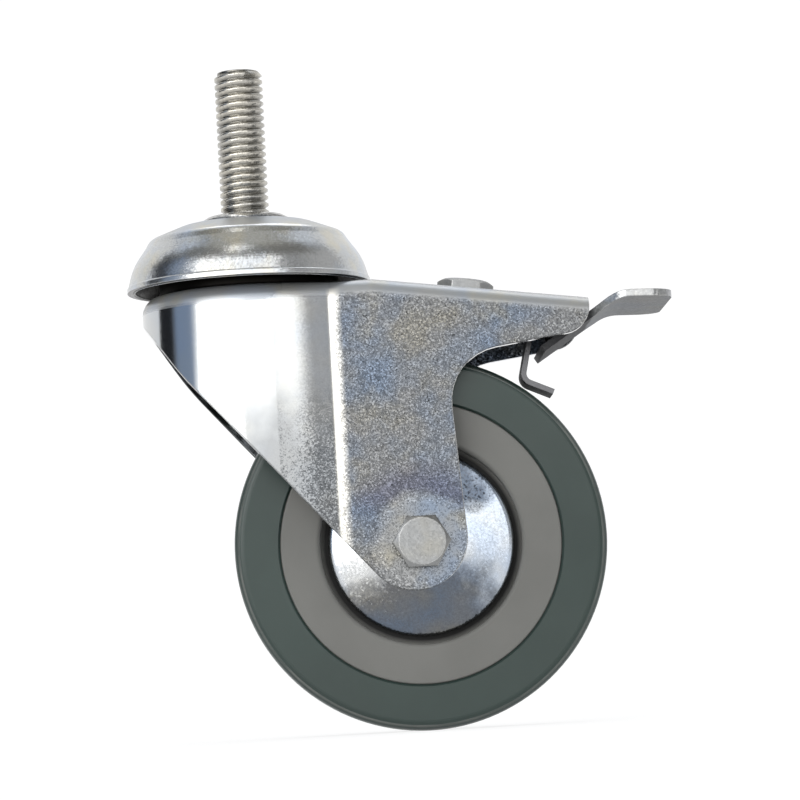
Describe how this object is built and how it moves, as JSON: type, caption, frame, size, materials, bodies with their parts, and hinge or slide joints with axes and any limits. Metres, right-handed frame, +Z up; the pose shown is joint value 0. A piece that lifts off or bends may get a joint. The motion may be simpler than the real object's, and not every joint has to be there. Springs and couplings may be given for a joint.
{
  "type": "braked swivel castor",
  "caption": "Swivel castor with a threaded stem, domed bearing cap, pressed steel fork, rubber-tyred ball bearing wheel and a foot pedal brake that presses a spring leaf on the tread.",
  "frame": {"origin": "swivel axis at the top face of the stem's hexagon, where the stem enters the furniture", "axes": "+Z up along the threaded stem, +X back towards the brake pedal, +Y to the nut end of the axle bolt"},
  "size_m": [0.1099, 0.0505, 0.1367],
  "materials": {
    "zinc_plate": "bright zinc plating with a faint blue and yellow tint",
    "stem_steel": "zinc plated thread",
    "bearing_steel": "ground",
    "spring_steel": "dark plated strip",
    "tyre_rubber": "matt moulded",
    "hub_plastic": "moulded",
    "nylon": "moulded"
  },
  "bodies": {
    "head": {"stem": "stem_steel", "top_cap": "zinc_plate", "lower_race": "bearing_steel"},
    "swivel_balls": {"upper_balls": "bearing_steel", "lower_balls": "bearing_steel"},
    "yoke": {"fork": "zinc_plate", "axle_bolt": "stem_steel", "axle_nut": "stem_steel", "nut_insert": "nylon", "axle_sleeve": "bearing_steel", "head_side_guard": "zinc_plate", "nut_side_guard": "zinc_plate", "head_side_spacer": "bearing_steel", "nut_side_spacer": "bearing_steel", "head_side_inner_ring": "bearing_steel", "nut_side_inner_ring": "bearing_steel", "brake_bolt": "stem_steel", "brake_nut": "stem_steel", "pedal_pin": "stem_steel"},
    "wheel": {"tyre": "tyre_rubber", "hub": "hub_plastic", "head_side_outer_ring": "bearing_steel", "nut_side_outer_ring": "bearing_steel"},
    "wheel_balls": {"head_side_bearing_balls": "bearing_steel", "nut_side_bearing_balls": "bearing_steel", "head_side_cage": "nylon", "nut_side_cage": "nylon"},
    "pedal": {"brake_pedal": "zinc_plate"},
    "leaf": {"brake_leaf": "spring_steel"}
  },
  "joints": [
    {"name": "swivel", "type": "hinge", "parent": "head", "child": "yoke", "pos_m": [0, 0, 0], "axis": [0, 0, 1], "continuous": true},
    {"name": "swivel_ball_roll", "type": "hinge", "parent": "head", "child": "swivel_balls", "pos_m": [0, 0, 0], "axis": [0, 0, 1], "continuous": true},
    {"name": "wheel_spin", "type": "hinge", "parent": "yoke", "child": "wheel", "pos_m": [0.032, 0, -0.0692], "axis": [0, 1, 0], "continuous": true},
    {"name": "wheel_ball_roll", "type": "hinge", "parent": "yoke", "child": "wheel_balls", "pos_m": [0.032, 0, -0.0692], "axis": [0, 1, 0], "continuous": true},
    {"name": "pedal_tilt", "type": "hinge", "parent": "yoke", "child": "pedal", "pos_m": [0.0625, 0, -0.02588], "axis": [0, 1, 0], "range_deg": [0, 27]},
    {"name": "leaf_flex", "type": "hinge", "parent": "yoke", "child": "leaf", "pos_m": [0.057, 0, -0.0241], "axis": [0, 1, 0], "range_deg": [0, 12], "deforming": ["brake_leaf"]}
  ],
  "couplings": [
    {"joint": "swivel_ball_roll", "follows": "swivel", "ratio": 0.5},
    {"joint": "wheel_ball_roll", "follows": "wheel_spin", "ratio": 0.6323},
    {"joint": "leaf_flex", "follows": "pedal_tilt", "ratio": 0.4444}
  ]
}
